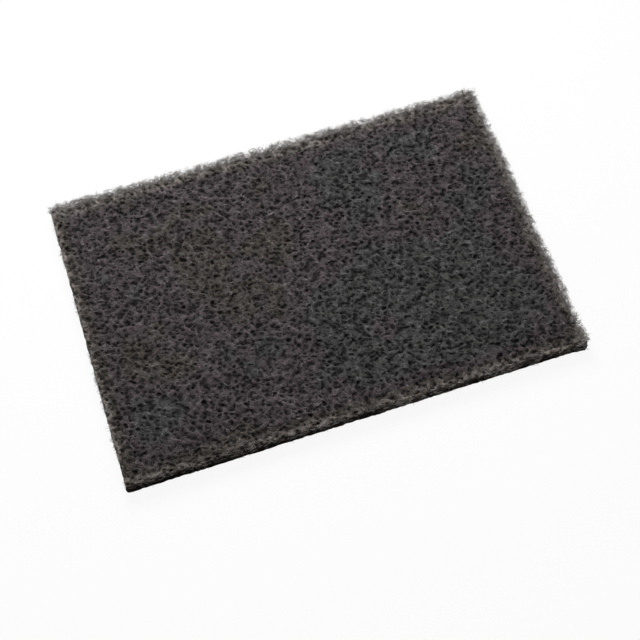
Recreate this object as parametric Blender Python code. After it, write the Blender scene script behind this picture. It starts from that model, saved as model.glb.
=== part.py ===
"""Abrasive hand pad: one slab of bonded non-woven web, cut from sheet with a steel-rule die.

The pad lies flat on its lower face.  +X runs along its length and +Y to its back edge, +Z is up,
and the origin is under its middle, on the plane that it lies on.  All sizes are in metres.
"""

import math

import bmesh
import bpy
from mathutils import Vector, geometry, noise

# The pad over its furthest edges
LENGTH = 0.2286
WIDTH = 0.1524
THICKNESS = 0.0095

# The cut isn't quite true: the back edge dips in its middle, and the right end falls back at its corners
BACK_EDGE_DIP = 0.0010
RIGHT_END_FALLBACK = 0.0007

# The die pinches the web as it cuts, so the arrises above and below are rounded over
ARRIS_WIDTH = 0.0017
ARRIS_STEPS = 2
MOST_ARRIS_OF_THICKNESS = 0.4

# The front right corner has lost its tip
WORN_CORNER = 0.0014

# Along its walls the web breaks up into bunches of fibre, which were pulled in here and there by the cut
WALL_BUNCH = 0.0046
WALL_STEPS = 1
WALL_RAGGEDNESS = 0.0006
RAG_SPACING = 0.0050

# On its faces the bunches end level with each other or a little lower, and some have an open pit between them.
# The upper face, which is the working one, is modelled at a finer spacing
UPPER_BUNCH = 0.0034
LOWER_BUNCH = 0.0056
WANDER_OF_BUNCH = 0.80
LEVEL_SHARE = 0.34
NAP_DEPTH = 0.0005
PIT_SHARE = 0.33
SHALLOWEST_PIT = 0.0009
DEEPEST_PIT = 0.0021

# Steps of the patterns to a bunch, enough to give each bunch a chance of its own
PATTERN_GRAIN = 4.0

# Where each pattern is taken from, so that no two are alike.  Both faces are level at their middle
UPPER_PATTERN = Vector((0.0, 0.0, 234.5))
LOWER_PATTERN = Vector((0.0, 0.0, 75.5))
WANDER_PATTERN = Vector((3.0, 3.0, 3.0))
RAG_PATTERN = Vector((5.3, 5.3, 5.3))

# Dull dark grey, a little warm
WEB_COLOUR = (0.061, 0.056, 0.058, 1.0)
WEB_ROUGHNESS = 0.95

# A point closer than this to a line is on it
ON_LINE = 0.00002
LAYING_TOLERANCE = 0.000002


def clear_scene():
    for old in list(bpy.data.objects):
        bpy.data.objects.remove(old, do_unlink=True)


def web_material():
    """Dark grey nylon and resin, dull all over."""
    material = bpy.data.materials.new("bonded_web")
    material.use_nodes = True
    shader = material.node_tree.nodes["Principled BSDF"]
    shader.inputs["Base Color"].default_value = WEB_COLOUR
    shader.inputs["Roughness"].default_value = WEB_ROUGHNESS
    shader.inputs["Metallic"].default_value = 0.0
    return material


def cut_outline(inset):
    """The die's path, this far inside the cut: four straight sides with a point at each bunch."""
    x = LENGTH / 2 - inset
    y = WIDTH / 2 - inset
    corners = [
        Vector((-x, -y)),
        Vector((x - WORN_CORNER, -y)),
        Vector((x, WORN_CORNER - y)),
        Vector((x, y)),
        Vector((-x, y)),
    ]
    points = []
    for start, end, side in zip(corners, corners[1:] + corners[:1], (LENGTH, 0.0, WIDTH, LENGTH, WIDTH)):
        bunches = max(1, round(side / WALL_BUNCH))
        points += [start.lerp(end, step / bunches) for step in range(bunches)]
    return points


def wall_profile():
    """Inset and height of each ring of points up the wall, with a rounded arris at each end."""
    width = min(ARRIS_WIDTH, THICKNESS * MOST_ARRIS_OF_THICKNESS)
    lower = []
    for step in range(ARRIS_STEPS + 1):
        turn = math.pi / 2 * step / ARRIS_STEPS
        lower.append((width * (1 - math.sin(turn)), width * (1 - math.cos(turn))))
    middle = [
        (0.0, width + (THICKNESS - 2 * width) * step / WALL_STEPS)
        for step in range(1, WALL_STEPS)
    ]
    upper = [(inset, THICKNESS - height) for inset, height in reversed(lower)]
    return lower + middle + upper


def pull_in(point, height):
    """Moves a point of the wall inwards by the wall's raggedness there, but none at a corner."""
    x, y = point
    on_end = LENGTH / 2 - abs(x) < ON_LINE
    on_side = WIDTH / 2 - abs(y) < ON_LINE
    rag = WALL_RAGGEDNESS * abs(noise.noise(Vector((x, y, height)) / RAG_SPACING + RAG_PATTERN))
    if on_end and not on_side:
        x -= math.copysign(rag, x)
    if on_side and not on_end:
        y -= math.copysign(rag, y)
    return Vector((x, y, height))


def raise_walls(mesh):
    """Rings of points up the cut walls, joined by faces.  Gives the lowest ring and the highest."""
    rings = [
        [mesh.verts.new(pull_in(point, height)) for point in cut_outline(inset)]
        for inset, height in wall_profile()
    ]
    for below, above in zip(rings, rings[1:]):
        for here in range(len(below)):
            after = (here + 1) % len(below)
            mesh.faces.new((below[here], below[after], above[after], above[here]))
    return rings[0], rings[-1]


def pit_at(place, pattern, bunch):
    """How far the web lies below the face at this place: 0 where it is level, most in a pit."""
    chance = (1 + noise.cell(PATTERN_GRAIN * place / bunch + pattern)) / 2
    if chance < LEVEL_SHARE:
        return 0.0
    if chance < 1 - PIT_SHARE:
        return NAP_DEPTH * (chance - LEVEL_SHARE) / (1 - PIT_SHARE - LEVEL_SHARE)
    return SHALLOWEST_PIT + (DEEPEST_PIT - SHALLOWEST_PIT) * (chance - 1 + PIT_SHARE) / PIT_SHARE


def web_points(bunch, pattern):
    """The middle of each bunch on one face, in staggered rows that wander, with its pit's depth."""
    row_step = bunch * math.sqrt(3) / 2
    rows = int(WIDTH / 2 / row_step)
    columns = int(LENGTH / 2 / bunch)
    for row in range(-rows, rows + 1):
        for column in range(-columns, columns + 1):
            place = Vector(((column + row % 2 / 2) * bunch, row * row_step, 0.0))
            chance = noise.cell_vector(PATTERN_GRAIN * place / bunch + WANDER_PATTERN + pattern)
            place += Vector((chance.x - 0.5, chance.y - 0.5, 0.0)) * bunch * WANDER_OF_BUNCH
            rim = min(LENGTH / 2 - abs(place.x), WIDTH / 2 - abs(place.y)) - ARRIS_WIDTH
            if rim > bunch / 2:
                yield place, pit_at(place, pattern, bunch)


def lay_face(mesh, rim, inwards, bunch, pattern):
    """Fills the ring of points at a face's rim with the web's bunches, sunk inwards at the pits."""
    height = rim[0].co.z
    bunches = [
        mesh.verts.new((place.x, place.y, height + inwards * depth))
        for place, depth in web_points(bunch, pattern)
    ]
    points = rim + bunches
    rim_edges = [(here, (here + 1) % len(rim)) for here in range(len(rim))]
    laid = geometry.delaunay_2d_cdt([point.co.xy for point in points], rim_edges, [], 1, LAYING_TOLERANCE)
    triangles, sources = laid[2], laid[3]
    for corners in triangles:
        mesh.faces.new([points[sources[corner][0]] for corner in corners])


def bend_outline(mesh):
    """Draws the back edge in at its middle, and the right end in at its corners."""
    for vertex in mesh.verts:
        along = vertex.co.x / (LENGTH / 2)
        across = vertex.co.y / (WIDTH / 2)
        if along > 0:
            vertex.co.x -= RIGHT_END_FALLBACK * along * across ** 2
        if across > 0:
            vertex.co.y -= BACK_EDGE_DIP * across * (1 - along ** 2)


def build_pad():
    mesh = bmesh.new()
    lowest, highest = raise_walls(mesh)
    lay_face(mesh, highest, -1, UPPER_BUNCH, UPPER_PATTERN)
    lay_face(mesh, lowest, 1, LOWER_BUNCH, LOWER_PATTERN)
    bend_outline(mesh)
    bmesh.ops.triangulate(mesh, faces=mesh.faces[:], quad_method="BEAUTY")
    bmesh.ops.recalc_face_normals(mesh, faces=mesh.faces[:])
    data = bpy.data.meshes.new("web_pad")
    mesh.to_mesh(data)
    mesh.free()
    data.materials.append(web_material())
    pad = bpy.data.objects.new("web_pad", data)
    bpy.context.scene.collection.objects.link(pad)


clear_scene()
build_pad()
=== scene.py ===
import math

import bpy
import numpy as np
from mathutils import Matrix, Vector, noise
from mathutils.bvhtree import BVHTree
from mathutils.kdtree import KDTree


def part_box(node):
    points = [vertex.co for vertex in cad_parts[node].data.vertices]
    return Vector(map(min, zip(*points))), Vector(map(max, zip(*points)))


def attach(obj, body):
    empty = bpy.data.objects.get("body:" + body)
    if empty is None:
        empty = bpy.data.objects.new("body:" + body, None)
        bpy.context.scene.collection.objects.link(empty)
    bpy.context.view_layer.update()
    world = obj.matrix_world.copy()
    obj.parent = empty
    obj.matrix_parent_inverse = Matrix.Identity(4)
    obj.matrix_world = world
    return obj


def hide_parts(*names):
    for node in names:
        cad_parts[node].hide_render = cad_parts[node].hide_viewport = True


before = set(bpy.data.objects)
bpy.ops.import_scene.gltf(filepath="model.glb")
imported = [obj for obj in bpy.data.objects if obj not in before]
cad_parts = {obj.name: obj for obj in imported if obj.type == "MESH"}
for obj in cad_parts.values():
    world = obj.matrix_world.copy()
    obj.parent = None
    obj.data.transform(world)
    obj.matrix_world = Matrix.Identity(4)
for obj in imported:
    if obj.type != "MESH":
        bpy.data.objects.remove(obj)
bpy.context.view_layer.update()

# The camera looks down on the pad from a little to the left of its front edge, which is the view
# of the photograph: the pad lies turned, with its front left corner the nearest to the lens.

CAMERA_PLACE = (-0.0771, -0.2455, 0.5336)
CAMERA_AIM = (-0.0025, -0.0210, 0.0)
CAMERA_LENS = 66.6


def aim_at(thing, target):
    """Turns a lamp or a camera so that it faces the target."""
    thing.rotation_euler = (Vector(target) - thing.location).to_track_quat("-Z", "Y").to_euler()


bpy.ops.object.camera_add(location=CAMERA_PLACE)
camera = bpy.context.active_object
camera.name = "camera"
camera.data.lens = CAMERA_LENS
camera.data.sensor_width = 36.0
aim_at(camera, CAMERA_AIM)
bpy.context.scene.camera = camera

# The web is the body of the pad: nylon fibres laid at random, needled and bonded with resin and
# fine grain, then cut to size with a die.  Its matted faces are open, with pits between the bunches
# of fibre that are hollowed and painted dark as shade, and its cut walls show the ends of the
# fibres and are painted darker still, as shade.

(PAD_LOW, PAD_HIGH) = (Vector(corner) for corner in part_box("web_pad"))
THICKNESS = PAD_HIGH.z - PAD_LOW.z
MILLIMETRE = 0.001
WELD = 0.000005
WEB_CUTS = 3
REST_GAP = 0.00005

# The lay of the fibres, which draws out all that they form, and the bunches that they stand in.
LAY = math.radians(-19.0)
LAY_STRETCH = 1.5
BUNCH_SPACINGS = [(0.0024, 1.0), (0.0016, 0.8)]
NAP_DEPTH = 0.0006

# The pits between the bunches, on both faces.
PIT_SEED = 17
PIT_SPACING = 0.00245
PIT_STRAY = 0.36
PIT_REACH = (0.00055, 0.00095)
PIT_STRETCH = (1.0, 1.9)
PIT_DEPTH = (0.0009, 0.0020)
PIT_WARP = 0.0005
PIT_WARP_SPACING = 0.0016
WARP_PATTERNS = [Vector((3.0, 7.0, 5.0)), Vector((11.0, 2.0, 8.0)), Vector((6.0, 13.0, 1.0))]
NEAREST_PITS = 3
HEIGHT_WEIGHT = 0.1
PIT_FILLING = 0.7

# The walls: frayed and ragged at the back and right, proud and squared at the front and left.
FRAY_SPACING = 0.0026
FRAY_PATTERN = Vector((9.0, 9.0, 9.0))
FRAY_DEPTH = 0.0003
LOOSE_FRAY_DEPTH = 0.0007
LOOSE_INSET = 0.0006
RAG_SPACING = 0.0062
RAG_PATTERN = Vector((5.0, 5.0, 5.0))
RAG_DEPTH = 0.0009
FRONT_STAND = 0.0006
TRIM = 0.85
TRIM_REACH = 0.0018
TRIM_FACING = (0.15, 0.6)
CORNER_RUN = (0.0025, 0.010)
CORNER_REACH = 0.0035
CORNER_STAND = 0.0004
CORNER_FLARE = 0.0014
FLARE_REACH = 0.006

# The casts of the web: purplish for the most part, grey where it is worn, brownish at the rims.
# They are darker than the loose fibres' casts: painted shade, as the web lies deeper, under them.
TINT_SPACING = 0.029
TINT_SWELLS = [(1.0, 1.0), (0.37, 0.5)]
TINT_PATTERN = Vector((45.3, 25.4, 37.3))
TINT_MIDDLE = 0.667
TINT_SPREAD = 0.75
GREY_PLACE = (0.054, -0.036)
GREY_REACH = (0.078, 0.061)
GREY_CORE = 0.3
GREY_PULL = 0.54
BROWN_RIM = (0.004, 0.014)
WEB_TINTS = [
    (0.00, (0.067, 0.068, 0.066, 1.0)),
    (0.37, (0.068, 0.068, 0.068, 1.0)),
    (0.46, (0.079, 0.065, 0.070, 1.0)),
    (0.90, (0.079, 0.065, 0.070, 1.0)),
    (0.96, (0.076, 0.066, 0.059, 1.0)),
]

# The rims of the faces, painted paler as light that the fibres standing there catch: how far in each
# reaches, and how pale it grows.
BACK_PALE_REACH = 0.0083
BACK_PALENESS = 0.36
FRONT_PALE_REACH = 0.0045
FRONT_PALENESS = 0.38
FRONT_PALE_RISE = 0.9
RIGHT_PALE_REACH = 0.006
RIGHT_PALE_RUN = 0.005
RIGHT_PALENESS = 2.6
LEFT_PALE_REACH = 0.0045
LEFT_PALE_RUN = 0.0035
LEFT_PALENESS = 2.2
PALEST = 2.4
LEAST_PALE = 0.1
PALE_PATCHES = [(0.0034, 1.3), (0.00136, 0.8)]
END_RAGGEDNESS = 0.45

# The shade painted in pits, low places and on walls, less on high bunches and near the upper arris,
# where patches of wall are bare and others hang full of the face's fibres.
PIT_HOLLOW = 900.0
LEVEL_HOLLOW = 0.25
BUNCH_HOLLOW = 0.35
HOLLOW_SHADE = 0.83
WALL_SHADE = 0.78
BARE_SHADE = 0.85
ARRIS_DEPTH = 0.0058
ARRIS_LIGHT = 0.9
OVERHANG_SPACING = 0.012
OVERHANG_PATTERN = Vector((2.0, 2.0, 2.0))
OVERHANG_TALLNESS = 0.4
OVERHANG_FINENESS = 3.0
OVERHANG_FINE_SHARE = 0.6
OVERHANG_SLOPE = 2.6
OVERHANG_RANGE = (-0.26, 0.36)
OVERHANG_DROP = 0.0040
OVERHANG_LIGHT = 0.45

# The surface close up: strands and grain, with gaps between them.
STRAND_SCALE = 620.0
STRAND_FINENESS = 5.5
STRAND_TURN = (0.4, 0.7, 1.1)
GRAIN_SCALE = 4200.0
GAP_SCALE = 520.0
GAP_REACH = 0.24
GAP_SHARPNESS = 6.0
CRUMPLE_SCALE = 900.0
CRUMPLE = 0.0009
GROUND_TONE = 0.42
STRAND_TONE = 0.62
GRAIN_TONE = 0.32
GAP_SHADE = 0.86
STRAND_RELIEF = 0.0003
WEB_SHINE = 0.18
WALL_SHINE = 0.03


class Wire:
    """A shader socket that takes part in sums, so that a pattern reads as a formula."""

    def __init__(self, finish, socket):
        self.finish = finish
        self.socket = socket

    def maths(self, operation, first, second=0.0, clamp=False):
        return self.finish.add(
            "ShaderNodeMath", {"operation": operation, "use_clamp": clamp}, {0: first, 1: second}
        )

    def __add__(self, other):
        return self.maths("ADD", self, other)

    def __sub__(self, other):
        return self.maths("SUBTRACT", self, other)

    def __mul__(self, other):
        return self.maths("MULTIPLY", self, other)

    def __rsub__(self, other):
        return self.maths("SUBTRACT", other, self)

    def __abs__(self):
        return self.maths("ABSOLUTE", self)

    def within(self):
        """The same value, held between 0 and 1."""
        return self.maths("ADD", self, 0.0, clamp=True)

    __radd__ = __add__
    __rmul__ = __mul__


class Finish:
    """A material, made up node by node round its Principled shader."""

    def __init__(self, name):
        self.material = bpy.data.materials.new(name)
        self.material.use_nodes = True
        self.tree = self.material.node_tree
        self.shader = self.tree.nodes["Principled BSDF"]

    def feed(self, socket, value):
        if isinstance(value, Wire):
            self.tree.links.new(value.socket, socket)
        else:
            socket.default_value = value

    def add(self, kind, settings, sockets, out=0):
        """Adds a node: its settings first, then the values or links of its sockets."""
        node = self.tree.nodes.new(kind)
        for name, value in settings.items():
            if name == "stops":
                self.set_stops(node.color_ramp.elements, value)
            else:
                setattr(node, name, value)
        for socket, value in sockets.items():
            self.feed(node.inputs[socket], value)
        return Wire(self, node.outputs[out])

    @staticmethod
    def set_stops(elements, stops):
        for place, colour in stops[2:]:
            elements.new(place)
        for element, (place, colour) in zip(elements, stops):
            element.position = place
            element.color = colour

    def wear(self, **sockets):
        """Sets the shader's own sockets."""
        for name, value in sockets.items():
            self.feed(self.shader.inputs[name.replace("_", " ")], value)


def select_only(piece):
    bpy.ops.object.select_all(action="DESELECT")
    piece.select_set(True)
    bpy.context.view_layer.objects.active = piece


def share_between(value, low, high):
    """0 up to low, 1 from high on, and a smooth rise between them."""
    share = min(max((value - low) / (high - low), 0.0), 1.0)
    return share * share * (3.0 - 2.0 * share)


def drawn(place):
    """A place, nearer to the middle along the lay of the fibres: what is even here is long there."""
    along = place.x * math.cos(LAY) + place.y * math.sin(LAY)
    across = place.y * math.cos(LAY) - place.x * math.sin(LAY)
    return Vector((along / LAY_STRETCH, across, place.z))


def bunching(place):
    """How high the bunches of fibre stand at a place, about -1 to 1. The faces are painted lighter
    where it is high and darker where it is low, as light and shade.
    """
    spot = drawn(place)
    return sum(share * noise.noise(spot / spacing) for spacing, share in BUNCH_SPACINGS)


def painted_rim_light(place):
    """How many times paler the faces are painted towards their rims, as light caught there, less one.
    """
    back = BACK_PALENESS * max(place.y - PAD_HIGH.y + BACK_PALE_REACH, 0.0) / MILLIMETRE
    front = FRONT_PALENESS + FRONT_PALE_RISE * place.x
    front *= max(PAD_LOW.y + FRONT_PALE_REACH - place.y, 0.0) / MILLIMETRE
    right = RIGHT_PALENESS * max((place.x - PAD_HIGH.x + RIGHT_PALE_REACH) / RIGHT_PALE_RUN, 0.0) ** 2
    left = LEFT_PALENESS * max((PAD_LOW.x + LEFT_PALE_REACH - place.x) / LEFT_PALE_RUN, 0.0) ** 2
    pale = max(back, front, right, left)
    if pale <= 0.0:
        return 0.0
    ragged = sum(share * noise.noise(place / spacing) for spacing, share in PALE_PATCHES)
    if max(right, left) > max(back, front):
        ragged *= END_RAGGEDNESS
    return min(pale, PALEST) * max(1.0 + ragged, LEAST_PALE)


def tint_at(place):
    """The web's cast at a place: 0 grey, 0.6 purplish, and 1 brownish, as it is at the rims."""
    spot = place / TINT_SPACING + TINT_PATTERN
    swell = sum(share * noise.noise(spot / size) for size, share in TINT_SWELLS)
    away = math.hypot(
        (place.x - GREY_PLACE[0]) / GREY_REACH[0], (place.y - GREY_PLACE[1]) / GREY_REACH[1]
    )
    greyed = GREY_PULL * (1.0 - share_between(away, GREY_CORE, 1.0))
    tint = min(max(TINT_MIDDLE + TINT_SPREAD * swell - greyed, 0.0), 1.0)
    inset = min(
        place.x - PAD_LOW.x, PAD_HIGH.x - place.x, place.y - PAD_LOW.y, PAD_HIGH.y - place.y
    )
    return tint + (1.0 - tint) * (1.0 - share_between(inset, *BROWN_RIM))


def overhang(place):
    """0 where a wall is bare, painted black as resin and as shade; 1 where the face's fibres hang over
    it.
    """
    spot = Vector((place.x, place.y, OVERHANG_TALLNESS * place.z)) / OVERHANG_SPACING
    swell = noise.noise(spot + OVERHANG_PATTERN)
    swell += OVERHANG_FINE_SHARE * noise.noise(OVERHANG_FINENESS * spot)
    return share_between(swell + OVERHANG_SLOPE * place.x, *OVERHANG_RANGE)


def upper_share(place):
    """0 low on a wall, growing to 1 at its upper arris, from lower down where fibres hang over it. The
    walls are painted lighter where it is high, as the light that falls near the arris.
    """
    depth = ARRIS_DEPTH + OVERHANG_DROP * overhang(place)
    share = min(max((place.z - PAD_HIGH.z + depth) / depth, 0.0), 1.0)
    return share * share


def draw_pits():
    """Scatters the pits over both faces: a search tree of their centres, and what each is like."""
    draw = np.random.default_rng(PIT_SEED)
    row_step = PIT_SPACING * math.sqrt(0.75)
    corners = [
        drawn(Vector((x, y, 0.0))) for x in (PAD_LOW.x, PAD_HIGH.x) for y in (PAD_LOW.y, PAD_HIGH.y)
    ]
    (low_x, low_y) = (min(corner[axis] for corner in corners) for axis in (0, 1))
    (high_x, high_y) = (max(corner[axis] for corner in corners) for axis in (0, 1))
    (centres, kinds) = ([], [])
    for height in (PAD_LOW.z, PAD_HIGH.z):
        for row in range(int((high_y - low_y) / row_step) + 1):
            for column in range(int((high_x - low_x) / PIT_SPACING) + 1):
                stray = PIT_STRAY * PIT_SPACING * draw.uniform(-1.0, 1.0, 2)
                x = low_x + (column + 0.5 * (row % 2)) * PIT_SPACING + stray[0]
                y = low_y + row * row_step + stray[1]
                centres.append(Vector((x, y, height)))
                kinds.append((
                    draw.uniform(*PIT_REACH), draw.uniform(*PIT_STRETCH),
                    draw.uniform(0.0, math.pi), draw.uniform(*PIT_DEPTH),
                ))
    tree = KDTree(len(centres))
    for number, centre in enumerate(centres):
        tree.insert(centre, number)
    tree.balance()
    return tree, kinds


(pit_tree, pit_kinds) = draw_pits()


def pit_depth(place):
    """How far a pit between the bunches draws the web in at this place, in metres."""
    warps = [noise.noise(place / PIT_WARP_SPACING + pattern) for pattern in WARP_PATTERNS]
    strayed = drawn(place + PIT_WARP * Vector(warps))
    deepest = 0.0
    for centre, number, distance in pit_tree.find_n(strayed, NEAREST_PITS):
        (reach, stretch, turn, depth) = pit_kinds[number]
        away = strayed - centre
        along = (away.x * math.cos(turn) + away.y * math.sin(turn)) / stretch
        sideways = away.y * math.cos(turn) - away.x * math.sin(turn)
        off = along * along + sideways * sideways + HEIGHT_WEIGHT * away.z * away.z
        deepest = max(deepest, depth * (1.0 - off / (reach * reach)))
    return deepest


def fill_deep_pits(place):
    """Draws the floors of the solid's deep pits part of the way back to the nearer face."""
    face = PAD_HIGH.z if place.z > 0.5 * THICKNESS else PAD_LOW.z
    place.z += PIT_FILLING * (face - place.z)


def looseness(facing):
    """1 on the back and right walls, where the web is frayed, and 0 on the two clean-cut walls."""
    return min(max(facing.x, 0.0) + max(facing.y, 0.0), 1.0)


def cornering(place):
    """1 at the front right corner, which the die has left sharp, and 0 a little way along the wall."""
    return 1.0 - share_between(place.y - PAD_LOW.y, *CORNER_RUN)


def fraying(place, facing):
    """How far in a wall lies: unevenly where it is frayed, and a little outwards at the front."""
    fray = noise.noise(place / FRAY_SPACING + FRAY_PATTERN)
    rag = noise.noise(place / RAG_SPACING + RAG_PATTERN)
    loose = looseness(facing) * (1.0 - cornering(place))
    loose_inset = LOOSE_INSET + RAG_DEPTH * rag + LOOSE_FRAY_DEPTH * fray
    front = max(-facing.y, 0.0)
    return FRAY_DEPTH * fray * (1.0 - loose) + loose_inset * loose - FRONT_STAND * front


def trim(place, facing):
    """Squares the front and left walls up to the die's cut, with sharp arrises."""
    least = TRIM_FACING[0]
    cornered = cornering(place) * share_between(facing.x, *TRIM_FACING)
    cut = max(share_between(max(-facing.x, -facing.y), *TRIM_FACING), cornered)
    level = share_between(abs(facing.z), *TRIM_FACING)
    inset = PAD_HIGH.x - place.x
    if facing.x > least and inset < CORNER_REACH:
        place.x += cornered * (inset + CORNER_STAND)
    inset = place.y - PAD_LOW.y
    if -facing.y > least and inset < TRIM_REACH:
        place.y -= TRIM * cut * inset
    inset = place.x - PAD_LOW.x
    if -facing.x > least and inset < TRIM_REACH:
        place.x -= TRIM * cut * inset
    face = PAD_HIGH.z if facing.z > 0.0 else PAD_LOW.z
    if cut > 0.0 and abs(face - place.z) < TRIM_REACH:
        place.z += TRIM * cut * level * (face - place.z)


def flare(place):
    """How far the lower edge of the front right corner is spread towards the front."""
    near = share_between(place.x, PAD_HIGH.x - FLARE_REACH, PAD_HIGH.x)
    near *= share_between(PAD_LOW.y + FLARE_REACH - place.y, 0.0, FLARE_REACH)
    return CORNER_FLARE * near * (1.0 - place.z / THICKNESS)


select_only(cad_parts["web_pad"])
web = bpy.data.objects.new("web_body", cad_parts["web_pad"].data.copy())
bpy.context.scene.collection.objects.link(web)
select_only(web)
bpy.ops.object.mode_set(mode="EDIT")
bpy.ops.mesh.select_all(action="SELECT")
bpy.ops.mesh.remove_doubles(threshold=WELD)
bpy.ops.mesh.subdivide(number_cuts=WEB_CUTS)
bpy.ops.object.mode_set(mode="OBJECT")

(tints, tones, moved) = ([], [], [])
for vertex in web.data.vertices:
    place = vertex.co.copy()
    facing = vertex.normal.copy()
    side = 1.0 - abs(facing.z)
    pit = pit_depth(place) * (1.0 - side)
    bunch = bunching(place)
    inward = pit + NAP_DEPTH * (0.5 - 0.5 * bunch) * (1.0 - side)
    if side < 0.5:
        fill_deep_pits(place)
    if side > 0.2:
        inward += side * fraying(place, facing)
    trim(place, facing)
    place -= inward * facing
    place.y -= flare(place)
    place.z = min(max(place.z, PAD_LOW.z + REST_GAP), PAD_HIGH.z + REST_GAP)
    moved.append(place)
    tints.append(tint_at(place))
    # The tone paints shade in pits and low places, less on high bunches, and on the walls, darkest
    # where they are bare and lighter towards the upper arris; and it paints light at the faces' rims.
    shaded = side * (1.0 - ARRIS_LIGHT * upper_share(place))
    cover = overhang(place)
    painted_shade = max(PIT_HOLLOW * pit + LEVEL_HOLLOW - BUNCH_HOLLOW * bunch, 0.0)
    painted_shade = min(painted_shade + WALL_SHADE * shaded * (1.0 - OVERHANG_LIGHT * cover), 1.0)
    bare = BARE_SHADE * shaded * (1.0 - cover)
    pale = painted_rim_light(place) * (1.0 - side)
    tones.append((1.0 - HOLLOW_SHADE * painted_shade) * (1.0 - bare) * (1.0 + pale))
for vertex, place in zip(web.data.vertices, moved):
    vertex.co = place
web.data.attributes.new("tint", "FLOAT", "POINT").data.foreach_set("value", tints)
web.data.attributes.new("tone", "FLOAT", "POINT").data.foreach_set("value", tones)
bpy.ops.object.shade_smooth()


def matted_finish(name, shine):
    """The look of the web: strands and grain, with open gaps between them."""
    matted = Finish(name)
    spot = matted.add("ShaderNodeTexCoord", {}, {}, out="Object")
    strands = None
    for turn in range(2):
        turned = matted.add(
            "ShaderNodeMapping", {},
            {"Vector": spot, "Rotation": tuple(turn * angle for angle in STRAND_TURN)},
        )
        wave = matted.add(
            "ShaderNodeTexNoise", {},
            {"Vector": turned, "Scale": STRAND_SCALE, "Detail": 2.0, "Roughness": 0.6},
            out="Fac",
        )
        lines = (1.0 - STRAND_FINENESS * abs(2.0 * wave - 1.0)).within()
        strands = lines if strands is None else (strands + lines).within()
    grain = matted.add(
        "ShaderNodeTexNoise", {}, {"Vector": spot, "Scale": GRAIN_SCALE, "Detail": 1.0}, out="Fac"
    )
    crumpled = matted.add(
        "ShaderNodeTexNoise", {}, {"Vector": spot, "Scale": CRUMPLE_SCALE, "Detail": 1.0},
        out="Color",
    )
    strayed = matted.add(
        "ShaderNodeVectorMath", {"operation": "MULTIPLY_ADD"},
        {0: crumpled, 1: (CRUMPLE, CRUMPLE, CRUMPLE), 2: spot},
    )
    laid = matted.add(
        "ShaderNodeMapping", {"vector_type": "TEXTURE"},
        {"Vector": strayed, "Rotation": (0.0, 0.0, LAY), "Scale": (LAY_STRETCH, 1.0, 1.0)},
    )
    gap = matted.add(
        "ShaderNodeTexVoronoi", {}, {"Vector": laid, "Scale": GAP_SCALE, "Randomness": 0.8},
        out="Distance",
    )
    open_gap = (1.0 - GAP_SHARPNESS * (gap - GAP_REACH)).within()
    # The painted light and shade of the web, from its tone.
    painted_light_and_shade = matted.add("ShaderNodeAttribute", {"attribute_name": "tone"}, {}, out="Fac")
    tint = matted.add("ShaderNodeAttribute", {"attribute_name": "tint"}, {}, out="Fac")
    cast = matted.add("ShaderNodeValToRGB", {"stops": WEB_TINTS}, {"Fac": tint}, out="Color")
    tone = (GROUND_TONE + STRAND_TONE * strands + GRAIN_TONE * grain) * painted_light_and_shade
    # Painted shade in the open gaps between the strands.
    tone = tone * (1.0 - GAP_SHADE * open_gap)
    matted.wear(
        Base_Color=matted.add(
            "ShaderNodeVectorMath", {"operation": "SCALE"}, {"Vector": cast, "Scale": tone}
        ),
        Roughness=(0.95 - 0.25 * strands),
        Normal=matted.add(
            "ShaderNodeBump", {},
            {
                "Strength": 0.7, "Distance": STRAND_RELIEF,
                "Height": strands + 0.3 * grain - open_gap,
            },
            out="Normal",
        ),
        Specular_IOR_Level=shine,
    )
    return matted.material


web.data.materials.clear()
web.data.materials.append(matted_finish("matted_web", WEB_SHINE))
web.data.materials.append(matted_finish("cut_web", WALL_SHINE))
for face in web.data.polygons:
    face.material_index = 1 if abs(face.normal.z) < 0.5 else 0

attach(web, "root")
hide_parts("web_pad")

# The matted fibres of the upper face are crimped nylon, coated with resin and grain.  They lie in
# loose curls on the web, a few side by side, dive into it at both ends, and sag over the pits.

UPPER_LAYERS = 2
UPPER_COUNT = 8000
UPPER_SEED = 41
SPARE_FIBRES = 7.0
OPEN_PITS = 0.00017

# The run of a fibre, in a bundle that curls as one.
FIBRE_RADIUS = 0.000112
FIBRE_THICKNESSES = (0.75, 1.3)
FIBRE_STEP = 0.00092
FIBRE_POINTS = 6
TIGHTEST_CURL = 0.0008
WIDEST_CURL = 0.0032
CRIMP_CHANCE = 0.18
FACE_LAY = (1.15, 0.75)
BUNDLE = 5
BUNDLE_SPREAD = 0.00019
BUNDLE_SPLAY = 0.14

# Its height over the web, and the way in which it weaves over and under others.
LOWEST = 0.00015
FIBRE_LIFT = 0.00025
FIBRE_DIVE = 0.00035
TAUTNESS = 0.3
WEAVE_DEPTH = 0.00022
WEAVE_RINGS = 3.4

# The chart that its map lies on: casts across it, and tones from dark to pale up it.
FIBRE_MAP = "OFBake"
CHART_SPAN = (0.02, 0.96)
SIDE_STEP = 0.006
RING_STEP = 0.006
FIBRE_TINTS = [
    (0.00, (0.124, 0.126, 0.122, 1.0)),
    (0.37, (0.125, 0.126, 0.125, 1.0)),
    (0.45, (0.149, 0.119, 0.130, 1.0)),
    (0.90, (0.149, 0.119, 0.130, 1.0)),
    (0.96, (0.138, 0.124, 0.113, 1.0)),
]
PALE_GREY = (0.127, 0.127, 0.127, 1.0)
PALE_GREYING = 0.6
DARKEST = 0.05
TONE_GAIN = 2.76
FIBRE_SHINE = 0.30
FIBRE_ROUGHNESS = 0.55

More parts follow.
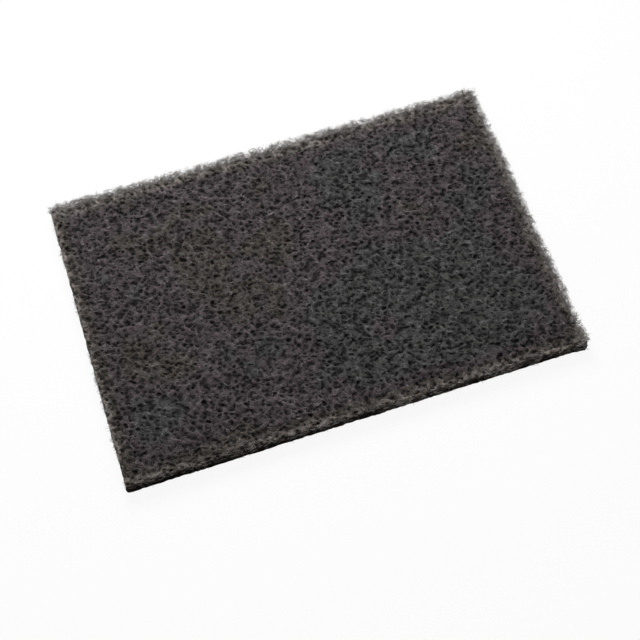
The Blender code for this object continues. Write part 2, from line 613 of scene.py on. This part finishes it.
# Its tone, and what makes it darker or paler: random flecks, painted shade where it weaves under
# others and over pits and low places, and painted light on high bunches and at the rims.
MEAN_TONE = 0.343
BUNDLE_TONE = 0.045
RING_TONE = 0.06
FIBRE_TONE = 0.025
WEAVE_SHADE = 0.15
BUNCH_LIGHT_AND_SHADE = 0.19
FIBRE_PIT_SHADE = 365.0
RIM_LIGHT_TONE = 0.26
FIBRE_CAST = 0.08

surface = BVHTree.FromPolygons(
    [vertex.co for vertex in web.data.vertices], [face.vertices[:] for face in web.data.polygons]
)


def crimped_finish(name, shine):
    """The look of a fibre: its cast and tone are read from the chart that its map lies on."""
    crimped = Finish(name)
    chart = crimped.add("ShaderNodeUVMap", {"uv_map": FIBRE_MAP}, {}, out="UV")
    across = crimped.add("ShaderNodeSeparateXYZ", {}, {"Vector": chart}, out="X")
    up = crimped.add("ShaderNodeSeparateXYZ", {}, {"Vector": chart}, out="Y")
    cast = crimped.add("ShaderNodeValToRGB", {"stops": FIBRE_TINTS}, {"Fac": across}, out="Color")
    # The paler a fibre's tone, the greyer its cast.
    greyed_cast = crimped.add(
        "ShaderNodeMix", {"data_type": "RGBA"},
        {0: (PALE_GREYING * up).within(), 6: cast, 7: PALE_GREY},
        out=2,
    )
    crimped.wear(
        Base_Color=crimped.add(
            "ShaderNodeVectorMath", {"operation": "SCALE"},
            {"Vector": greyed_cast, "Scale": DARKEST + TONE_GAIN * up},
        ),
        Roughness=FIBRE_ROUGHNESS,
        Specular_IOR_Level=shine,
    )
    return crimped.material


crimped_fibre = crimped_finish("crimped_fibre", FIBRE_SHINE)


def curls(
    draw, bundles, points, step, low, high, lay=0.0, drawing=(1.0, 1.0), spread=BUNDLE_SPREAD
):
    """Bundles of crimped fibres strewn between two corners of a plane, drawn out along their lay."""
    radius = np.exp(draw.uniform(np.log(TIGHTEST_CURL), np.log(WIDEST_CURL), (bundles, 1)))
    hand = draw.choice([-1.0, 1.0], (bundles, 1))
    crimps = np.where(draw.random((bundles, points - 1)) < CRIMP_CHANCE, -1.0, 1.0)
    flips = np.cumprod(crimps, axis=1)
    start = draw.uniform(0.0, 2.0 * math.pi, (bundles, 1))
    centre = draw.uniform(low, high, (bundles, 1, 2))
    heading = np.repeat(start + np.cumsum(hand * flips * step / radius, axis=1), BUNDLE, axis=0)
    heading = heading + draw.normal(0.0, BUNDLE_SPLAY, (len(heading), 1))
    (along, across) = (drawing[0] * np.cos(heading), drawing[1] * np.sin(heading))
    steps = step * np.stack([
        along * math.cos(lay) - across * math.sin(lay),
        along * math.sin(lay) + across * math.cos(lay),
    ], axis=2)
    path = np.concatenate([np.zeros((len(heading), 1, 2)), np.cumsum(steps, axis=1)], axis=1)
    path = path - path.mean(axis=1, keepdims=True)
    strays = draw.normal(0.0, spread, (len(heading), 1, 2))
    return path + np.repeat(centre, BUNDLE, axis=0) + strays


def chart_tones(tones):
    """Keeps the tones of neighbouring rings apart, so that each face covers some of the chart."""
    tones = np.clip(tones, *CHART_SPAN)
    laid = [tones[:, 0]]
    for column in tones.T[1:]:
        change = column - laid[-1]
        least = np.copysign(RING_STEP, change)
        laid.append(laid[-1] + np.where(np.abs(change) < RING_STEP, least, change))
    return np.stack(laid, axis=1)


def lay_fibres(name, paths, widths, casts, tones, finish=crimped_fibre):
    """Makes one piece of thin closed tubes along the paths, and lays its map on the colour chart."""
    points = len(paths[0])
    bpy.ops.curve.primitive_nurbs_circle_add()
    section = bpy.context.active_object
    section.data.dimensions = "2D"
    section.data.splines.remove(section.data.splines[0])
    rim = section.data.splines.new("POLY")
    rim.points.add(2)
    for corner in range(3):
        angle = 2.0 * math.pi * corner / 3.0
        rim.points[corner].co = (math.cos(angle), math.sin(angle), 0.0, 1.0)
    rim.use_cyclic_u = True

    bundle = bpy.data.curves.new(name, "CURVE")
    bundle.dimensions = "3D"
    bundle.bevel_mode = "OBJECT"
    bundle.bevel_object = section
    taper = np.ones(points)
    taper[0] = taper[-1] = 0.0
    spots = np.ones((points, 4))
    for path, width in zip(paths, widths):
        fibre = bundle.splines.new("POLY")
        fibre.points.add(points - 1)
        spots[:, :3] = path
        fibre.points.foreach_set("co", spots.ravel())
        fibre.points.foreach_set("radius", width * taper)
    piece = bpy.data.objects.new(name, bundle)
    bpy.context.scene.collection.objects.link(piece)
    select_only(piece)
    bpy.ops.object.convert(target="MESH")
    piece = bpy.context.active_object

    mesh = piece.data
    corner_vertex = np.empty(len(mesh.loops), np.int32)
    mesh.loops.foreach_get("vertex_index", corner_vertex)
    (fibre, place) = np.divmod(corner_vertex, points * 3)
    (ring, side) = np.divmod(place, 3)
    chart_places = np.stack([
        np.clip(casts, *CHART_SPAN)[fibre] + SIDE_STEP * side,
        chart_tones(np.array(tones))[fibre, ring],
    ], axis=1).astype(np.float32)
    while mesh.uv_layers:
        mesh.uv_layers.remove(mesh.uv_layers[0])
    mesh.uv_layers.new(name=FIBRE_MAP).data.foreach_set("uv", chart_places.ravel())
    bpy.ops.object.mode_set(mode="EDIT")
    bpy.ops.mesh.select_all(action="SELECT")
    bpy.ops.mesh.remove_doubles(threshold=0.0000005)
    bpy.ops.mesh.select_all(action="SELECT")
    bpy.ops.mesh.normals_make_consistent(inside=False)
    bpy.ops.object.mode_set(mode="OBJECT")
    bpy.ops.object.shade_smooth()
    mesh.materials.clear()
    mesh.materials.append(finish)
    bpy.data.objects.remove(section)
    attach(piece, "root")


def drape(path, sign, lift):
    """The heights of a fibre laid on a face, diving at its ends and sagging over pits, or None."""
    heights = []
    for x, y in path:
        start = Vector((x, y, 0.5 * THICKNESS + sign * THICKNESS))
        hit = surface.ray_cast(start, Vector((0.0, 0.0, -sign)))[0]
        if hit is None:
            return None
        heights.append(sign * hit.z)
    draped = [heights[0] - FIBRE_DIVE]
    for before, here, after in zip(heights, heights[1:], heights[2:]):
        draped.append((1.0 - TAUTNESS) * here + TAUTNESS * max(here, 0.5 * (before + after)))
    draped.append(heights[-1] - FIBRE_DIVE)
    arch = lift * np.sin(np.linspace(0.0, math.pi, len(path)))
    return np.maximum(sign * (np.array(draped) + arch), LOWEST)


def pitted(places):
    """How deep the pits are on the average under a row of places, in metres."""
    return sum(pit_depth(place) for place in places) / len(places)


def matted_layer(name, sign, count, seed):
    """Strews fibres over a whole face, and makes one piece of them."""
    draw = np.random.default_rng(seed)
    bundles = int(SPARE_FIBRES * count / BUNDLE)
    flat = curls(
        draw, bundles, FIBRE_POINTS, FIBRE_STEP, PAD_LOW[:2], PAD_HIGH[:2], LAY, FACE_LAY
    )
    lifts = FIBRE_LIFT * draw.random(len(flat)) ** 2
    chances = draw.random(len(flat))
    bundle_tones = draw.normal(MEAN_TONE, BUNDLE_TONE, (bundles, 1))
    flecks = draw.normal(0.0, RING_TONE, (bundles, FIBRE_POINTS + 1))
    bundle_tones = bundle_tones + (flecks[:, 1:] + flecks[:, :-1]) / math.sqrt(2.0)
    phases = draw.uniform(0.0, 2.0 * math.pi, (bundles, 1))
    weave = 0.5 - 0.5 * np.cos(phases + 2.0 * math.pi * np.arange(FIBRE_POINTS) / WEAVE_RINGS)
    # Painted darker where the fibre weaves under others, as shade.
    ring_tones = np.repeat(bundle_tones - WEAVE_SHADE * weave, BUNDLE, axis=0)
    weave = np.repeat(weave, BUNDLE, axis=0)
    fibre_tones = draw.normal(0.0, FIBRE_TONE, len(flat))
    casts_off = draw.normal(0.0, FIBRE_CAST, len(flat))
    thickness = draw.uniform(*FIBRE_THICKNESSES, len(flat))
    (paths, casts, tones, widths) = ([], [], [], [])
    face = PAD_HIGH.z if sign > 0.0 else PAD_LOW.z
    for number, path in enumerate(flat):
        if pitted([Vector((x, y, face)) for x, y in path]) > OPEN_PITS * chances[number]:
            continue
        heights = drape(path, sign, lifts[number] - WEAVE_DEPTH * weave[number])
        if heights is None:
            continue
        places = [Vector((x, y, z)) for (x, y), z in zip(path, heights)]
        # Painted light on high bunches and at the rims, and painted shade over pits and low places.
        tones.append([
            tone + fibre_tones[number] + BUNCH_LIGHT_AND_SHADE * bunching(place)
            + RIM_LIGHT_TONE * painted_rim_light(place) - FIBRE_PIT_SHADE * pit_depth(place)
            for place, tone in zip(places, ring_tones[number])
        ])
        paths.append(np.column_stack([path, heights]))
        casts.append(tint_at(places[FIBRE_POINTS // 2]) + casts_off[number])
        widths.append(FIBRE_RADIUS * thickness[number])
        if len(paths) == count:
            break
    lay_fibres(name, paths, widths, casts, tones)


for layer in range(UPPER_LAYERS):
    matted_layer(f"upper_fibres_{layer + 1}", 1.0, UPPER_COUNT, UPPER_SEED + layer)

# The underside is the same web, matted in the same way.  It lay on the belt while the resin set,
# so fewer fibres are loose on it.

UNDER_COUNT = 3500
UNDER_SEED = 61

matted_layer("under_fibres", -1.0, UNDER_COUNT, UNDER_SEED)

# The cut walls show the web edge on: fibres that run along its layers, cut short by the die.  They
# are painted black in places, as resin and as the shade on the walls.  Elsewhere the face's fibres
# hang down over them, browner, and painted lighter towards the upper arris as light.

WALL_COUNT = 4940
WALL_SEED = 71
WALL_POINTS = 6
WALL_SQUASH = 0.35
WALL_FOOT = 0.0006
WALL_HEAD = 0.0002
WALL_REACH = 0.0035
WALL_DIVE = 0.0004
BARE_CHANCE = 0.1
ARRIS_CHANCE = 3.0
FIBRE_GAP = 0.0001
WALL_SHADED_TONE = 0.04
WALL_BUNDLE_TONE = 0.04
WALL_BUNCH_TONE = 0.07
ARRIS_LIT_TONE = 0.86
OVERHANG_TONE = 0.30
WALL_CAST = 0.96
WALL_FIBRE_SHINE = 0.08
WALLS = {
    "front": Vector((0.0, -1.0, 0.0)), "back": Vector((0.0, 1.0, 0.0)),
    "left": Vector((-1.0, 0.0, 0.0)), "right": Vector((1.0, 0.0, 0.0)),
}


def wall_run(outward):
    """The level line along a wall, and where on it the wall starts and ends."""
    run = Vector((abs(outward.y), abs(outward.x), 0.0))
    return run, PAD_LOW.dot(run), PAD_HIGH.dot(run)


def wall_point(outward, along, height):
    """Where a level line drawn in from outside meets the wall, or None past its end."""
    start = wall_run(outward)[0] * along + outward * 0.2 + Vector((0.0, 0.0, height))
    hit = surface.ray_cast(start, -outward)[0]
    rim = max(PAD_HIGH.dot(outward), PAD_LOW.dot(outward))
    return hit if hit and hit.dot(outward) > rim - WALL_REACH else None


draw = np.random.default_rng(WALL_SEED)
(paths, casts, tones, widths) = ([], [], [], [])
around = 2.0 * (PAD_HIGH.x - PAD_LOW.x) + 2.0 * (PAD_HIGH.y - PAD_LOW.y)
for outward in WALLS.values():
    (run_low, run_high) = wall_run(outward)[1:]
    bundles = int(WALL_COUNT * (run_high - run_low) / around / BUNDLE)
    flat = curls(
        draw, bundles, WALL_POINTS, FIBRE_STEP, (run_low, PAD_LOW.z + WALL_FOOT),
        (run_high, PAD_HIGH.z - WALL_HEAD), drawing=(1.0, WALL_SQUASH),
    )
    bundle_tones = np.repeat(draw.normal(0.0, WALL_BUNDLE_TONE, bundles), BUNDLE)
    thickness = draw.uniform(*FIBRE_THICKNESSES, len(flat))
    chances = draw.random(len(flat))
    for path, extra, thick, chance in zip(flat, bundle_tones, thickness, chances):
        hits = [wall_point(outward, along, max(height, LOWEST)) for along, height in path]
        if None in hits:
            continue
        middle = hits[WALL_POINTS // 2]
        cover = overhang(middle)
        if chance > BARE_CHANCE + cover + ARRIS_CHANCE * upper_share(middle):
            continue
        hits = [hit + outward * FIBRE_GAP for hit in hits]
        hits[0] -= outward * WALL_DIVE
        hits[-1] -= outward * WALL_DIVE
        paths.append(hits)
        # Wall fibres are painted dark as shade, paler where the face's fibres hang over, and lighter
        # towards the upper arris as light.
        tones.append([
            WALL_SHADED_TONE + extra + ARRIS_LIT_TONE * upper_share(hit) + OVERHANG_TONE * cover
            + WALL_BUNCH_TONE * bunching(hit)
            for hit in hits
        ])
        casts.append(WALL_CAST)
        widths.append(FIBRE_RADIUS * thick)
# A finish with little shine for the wall fibres, whose black is painted, as resin and as shade.
resin_and_shade_dark_fibre = crimped_finish("resin_and_shade_dark_fibre", WALL_FIBRE_SHINE)
lay_fibres("wall_fibres", paths, widths, casts, tones, resin_and_shade_dark_fibre)

# The back and right edges are frayed: thin curls of fibre have come loose along them and make a
# soft fringe, pale at the upper arris and painted darker further down the wall, as shade.

RIM_COUNT = 7600
RIM_SEED = 79
RIM_STEP = 0.00075
RIM_POINTS = 6
RIM_CENTRE = (-0.0022, 0.0011)
RIM_SPREAD = 0.0007
RIM_THICKNESSES = (0.45, 0.75)
RIM_DEPTH = 0.0050
RIM_INSET = 0.0002
RIM_SLOPE = 0.25
RIM_REACH = 0.0022
RIM_LEFT_REACH = 0.0008
RIM_HEAD = 0.0004
RIM_TONE = 0.71
RIM_BUNDLE_TONE = 0.13
RIM_FIBRE_TONE = 0.05
RIM_BUNCH_TONE = 0.45
RIM_DEPTH_SHADE = 110.0
RIM_CAST = 0.05


def over_web(spot):
    """The height of a spot, or the height that just clears the web under it where that is more."""
    ground = surface.ray_cast(Vector((spot.x, spot.y, 2.0 * THICKNESS)), Vector((0.0, 0.0, -1.0)))[0]
    return max(spot.z, ground.z + FIBRE_GAP) if ground else spot.z


draw = np.random.default_rng(RIM_SEED)
(paths, casts, tones, widths) = ([], [], [], [])
back_run = PAD_HIGH.x - PAD_LOW.x
right_run = PAD_HIGH.y - PAD_LOW.y
bundles = RIM_COUNT // BUNDLE
flat = curls(
    draw, bundles, RIM_POINTS, RIM_STEP,
    (0.0, RIM_CENTRE[0]), (back_run + right_run, RIM_CENTRE[1]), spread=RIM_SPREAD,
)
depths = np.repeat(RIM_DEPTH * draw.random(bundles) ** 2, BUNDLE)
slopes = draw.normal(0.0, RIM_SLOPE, len(flat))
bundle_tones = np.repeat(draw.normal(RIM_TONE, RIM_BUNDLE_TONE, bundles), BUNDLE)
bundle_tones = bundle_tones + draw.normal(0.0, RIM_FIBRE_TONE, len(flat))
thickness = draw.uniform(*RIM_THICKNESSES, len(flat))
for number, path in enumerate(flat):
    curl = []
    on_back = path[RIM_POINTS // 2][0] < back_run
    for along, out in path:
        height = PAD_HIGH.z - RIM_INSET - depths[number] + slopes[number] * (out - path[0][1])
        if on_back:
            curl.append(Vector((PAD_LOW.x + along, PAD_HIGH.y + out, height)))
        else:
            curl.append(Vector((PAD_HIGH.x + out, PAD_LOW.y + along - back_run, height)))
    for spot in curl:
        spot.x = min(max(spot.x, PAD_LOW.x - RIM_LEFT_REACH), PAD_HIGH.x + RIM_REACH)
        spot.y = min(max(spot.y, PAD_LOW.y + RIM_INSET), PAD_HIGH.y + RIM_REACH)
        spot.z = min(max(over_web(spot), LOWEST), PAD_HIGH.z + RIM_HEAD)
    paths.append(curl)
    # Painted darker the lower a fibre hangs, as shade.
    tones.append([
        bundle_tones[number] + RIM_BUNCH_TONE * bunching(spot) - RIM_DEPTH_SHADE * (PAD_HIGH.z - spot.z)
        for spot in curl
    ])
    casts.append(tint_at(curl[2]) + RIM_CAST)
    widths.append(FIBRE_RADIUS * thickness[number])
lay_fibres("frayed_rim", paths, widths, casts, tones)

# Loose hairs stand out in tufts all round the rim, where the die has cut through the web.  They
# are long on the frayed back and right edges, where many come out of the face, and short on the
# front and left ones.

HAIR_FRINGES = {
    "front": (500, 0.0006, 0.0018), "back": (1400, 0.0021, 0.0046),
    "left": (560, 0.0005, 0.0019), "right": (850, 0.0015, 0.0040),
}
HAIR_SEED = 83
HAIR_POINTS = 5
HAIR_RADIUS = (0.00006, 0.000095)
HAIR_ROOT = 0.0008
LAID_SHARE = 0.65
LAID_ROOT = (0.0006, 0.0034)
TUFT = 14
TUFT_INSET = 0.0005
TUFT_SPREAD = 0.0011
TUFT_REACH = (0.55, 1.30)
HAIR_INSET = 0.0004
HAIR_HEAD = 0.0006
HAIR_FOOT = 0.001
HAIR_SWING = 0.45
HAIR_CLIMB = (0.08, 0.20)
HAIR_TURN = 0.35
HAIR_DIP = (-0.04, 0.12)
HAIR_LIT_TONE = 0.50
TUFT_TONE = 0.08
SINGLE_TONE = 0.06
ROOT_SHADE = 0.12
TIP_LIGHT = 0.06
HAIR_CAST = 0.2

draw = np.random.default_rng(HAIR_SEED)
(paths, casts, tones, widths) = ([], [], [], [])
for side, outward in WALLS.items():
    (count, shortest, longest) = HAIR_FRINGES[side]
    (run, run_low, run_high) = wall_run(outward)
    tufts = count // TUFT + 1
    tuft_places = draw.uniform(run_low + TUFT_INSET, run_high - TUFT_INSET, tufts).tolist()
    tuft_reach = draw.uniform(*TUFT_REACH, tufts).tolist()
    tuft_swing = draw.normal(0.0, HAIR_SWING, tufts).tolist()
    tuft_tone = draw.normal(HAIR_LIT_TONE, TUFT_TONE, tufts).tolist()
    for hair in range(count):
        tuft = hair // TUFT
        along = tuft_places[tuft] + draw.normal(0.0, TUFT_SPREAD)
        along = min(max(along, run_low + HAIR_INSET), run_high - HAIR_INSET)
        height = PAD_HIGH.z - HAIR_INSET - (PAD_HIGH.z - HAIR_FOOT) * draw.random() ** 3
        length = tuft_reach[tuft] * draw.uniform(shortest, longest)
        swing = draw.normal(tuft_swing[tuft], HAIR_SWING)
        climb = draw.normal(*HAIR_CLIMB)
        turn = draw.normal(0.0, HAIR_TURN)
        dip = draw.normal(*HAIR_DIP)
        tone = draw.normal(tuft_tone[tuft], SINGLE_TONE)
        radius = draw.uniform(*HAIR_RADIUS)
        laid = looseness(outward) > 0.5 and draw.random() < LAID_SHARE
        depth = draw.uniform(*LAID_ROOT) if laid else HAIR_ROOT
        root = wall_point(outward, along, height)
        if root is None:
            continue
        spot = root - outward * depth
        step = (length + depth) / (HAIR_POINTS - 1)
        path = [spot]
        for joint in range(HAIR_POINTS - 1):
            heading = outward * math.cos(swing) + run * math.sin(swing)
            rise = Vector((0.0, 0.0, math.sin(climb)))
            spot = spot + step * (heading * math.cos(climb) + rise)
            spot.z = min(max(spot.z, LOWEST), PAD_HIGH.z + HAIR_HEAD)
            if laid:
                spot.z = over_web(spot)
            path.append(spot)
            swing += turn
            climb += dip
        paths.append(path)
        # Hairs are painted paler than the face's fibres, as light caught at the rim, with painted
        # shade at the root and painted light towards the tip.
        tones.append([tone - ROOT_SHADE + TIP_LIGHT * joint for joint in range(HAIR_POINTS)])
        casts.append(min(tint_at(root) + HAIR_CAST, 1.0))
        widths.append(radius)
lay_fibres("rim_hairs", paths, widths, casts, tones)

# The bench is a plain white sheet, lit from behind and above by one wide soft lamp, and filled in
# by the white room.

BENCH_REACH = 1.6
BENCH_GLOW = 0.91
LAMP_PLACE = (-0.02, 0.35, 0.45)
LAMP_SIZE = 0.38
LAMP_POWER = 3.68
ROOM_LIGHT = 0.28

bpy.ops.mesh.primitive_plane_add(size=2.0 * BENCH_REACH)
bench = bpy.context.active_object
bench.name = "bench"
sheet = Finish("white_sheet")
sheet.wear(Base_Color=(0.86, 0.86, 0.86, 1.0), Roughness=0.9, Specular_IOR_Level=0.1)
rays = sheet.add("ShaderNodeLightPath", {}, {}, out="Is Camera Ray")
glow = sheet.add(
    "ShaderNodeEmission", {}, {"Color": (1.0, 1.0, 1.0, 1.0), "Strength": 1.0}, out="Emission"
)
seen = sheet.add("ShaderNodeMixShader", {}, {0: BENCH_GLOW * rays, 2: glow}, out="Shader")
sheet.tree.links.new(sheet.shader.outputs["BSDF"], seen.socket.node.inputs[1])
sheet.tree.links.new(seen.socket, sheet.tree.nodes["Material Output"].inputs["Surface"])
bench.data.materials.append(sheet.material)

bpy.ops.object.light_add(type="AREA", location=LAMP_PLACE)
lamp = bpy.context.active_object
lamp.name = "soft_lamp"
lamp.data.shape = "DISK"
lamp.data.size = LAMP_SIZE
lamp.data.energy = LAMP_POWER
aim_at(lamp, (0.0, 0.0, 0.0))

room = bpy.data.worlds.new("white_room")
room.use_nodes = True
air = room.node_tree
sky = air.nodes["Background"]
sky.inputs["Color"].default_value = (1.0, 1.0, 1.0, 1.0)
rays = air.nodes.new("ShaderNodeLightPath")
strength = air.nodes.new("ShaderNodeMath")
strength.operation = "MULTIPLY_ADD"
air.links.new(rays.outputs["Is Camera Ray"], strength.inputs[0])
strength.inputs[1].default_value = 1.0 - ROOM_LIGHT
strength.inputs[2].default_value = ROOM_LIGHT
air.links.new(strength.outputs[0], sky.inputs["Strength"])
bpy.context.scene.world = room

bpy.context.scene.view_settings.view_transform = "Standard"
